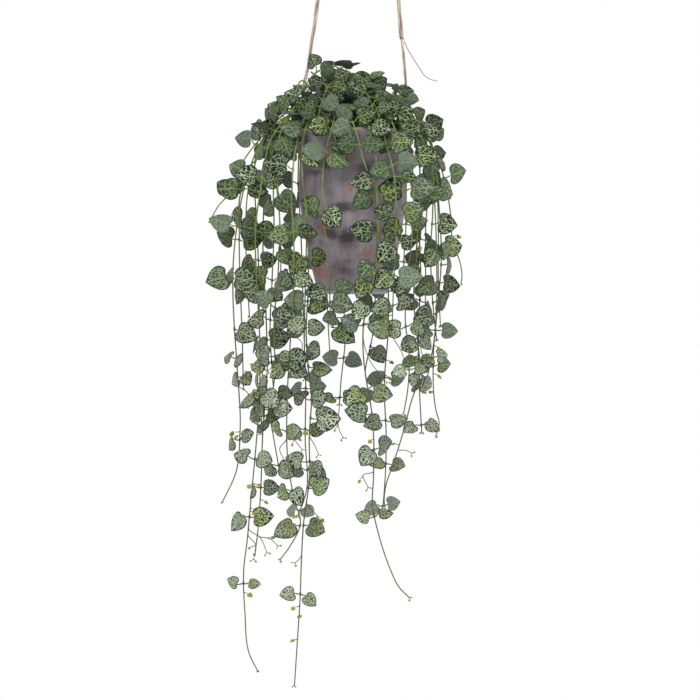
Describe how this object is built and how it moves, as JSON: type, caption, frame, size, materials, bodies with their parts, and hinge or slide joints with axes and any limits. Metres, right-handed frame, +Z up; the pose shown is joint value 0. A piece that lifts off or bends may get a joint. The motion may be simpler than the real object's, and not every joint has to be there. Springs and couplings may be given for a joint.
{
  "type": "hanging potted plant",
  "caption": "Ceropegia with trailing stems of heart-shaped leaves, in a flared earthenware pot that hangs in a fibre sling.",
  "frame": {"origin": "inside top of the sling's arch, where it hangs on a hook", "axes": "+Z up along the sling, the front with the named view towards -Y, +X to the right of it"},
  "size_m": [0.257, 0.2074, 0.7356],
  "materials": {
    "clay": "matte",
    "soil": "matte",
    "fibre": "matte",
    "leaf_mid": "satin",
    "leaf_light": "satin",
    "leaf_dark": "satin"
  },
  "bodies": {
    "root": {"pot": "clay", "soil": "soil", "sling": "fibre", "sling_tie": "fibre", "loose_strand": "fibre", "stopper_left": "fibre", "stopper_right": "fibre", "vine_01": "leaf_light", "vine_02": "leaf_dark", "vine_03": "leaf_mid", "vine_04": "leaf_light", "vine_05": "leaf_dark", "vine_06": "leaf_mid", "vine_07": "leaf_light", "vine_08": "leaf_dark", "vine_09": "leaf_mid", "vine_10": "leaf_light", "vine_11": "leaf_dark", "vine_12": "leaf_mid", "vine_13": "leaf_light", "vine_14": "leaf_dark", "vine_15": "leaf_mid", "vine_16": "leaf_light", "vine_17": "leaf_dark", "vine_18": "leaf_mid", "vine_19": "leaf_light", "vine_20": "leaf_dark", "vine_21": "leaf_mid", "vine_22": "leaf_light", "vine_23": "leaf_dark", "vine_24": "leaf_mid", "vine_25": "leaf_light", "vine_26": "leaf_dark", "vine_27": "leaf_mid", "vine_28": "leaf_light", "vine_29": "leaf_dark", "vine_30": "leaf_mid", "vine_31": "leaf_light", "vine_32": "leaf_dark", "vine_33": "leaf_mid", "vine_34": "leaf_light", "vine_35": "leaf_dark", "vine_36": "leaf_mid", "vine_37": "leaf_light", "vine_38": "leaf_dark", "vine_39": "leaf_mid", "vine_40": "leaf_light", "vine_41": "leaf_dark", "vine_42": "leaf_mid"}
  },
  "joints": []
}
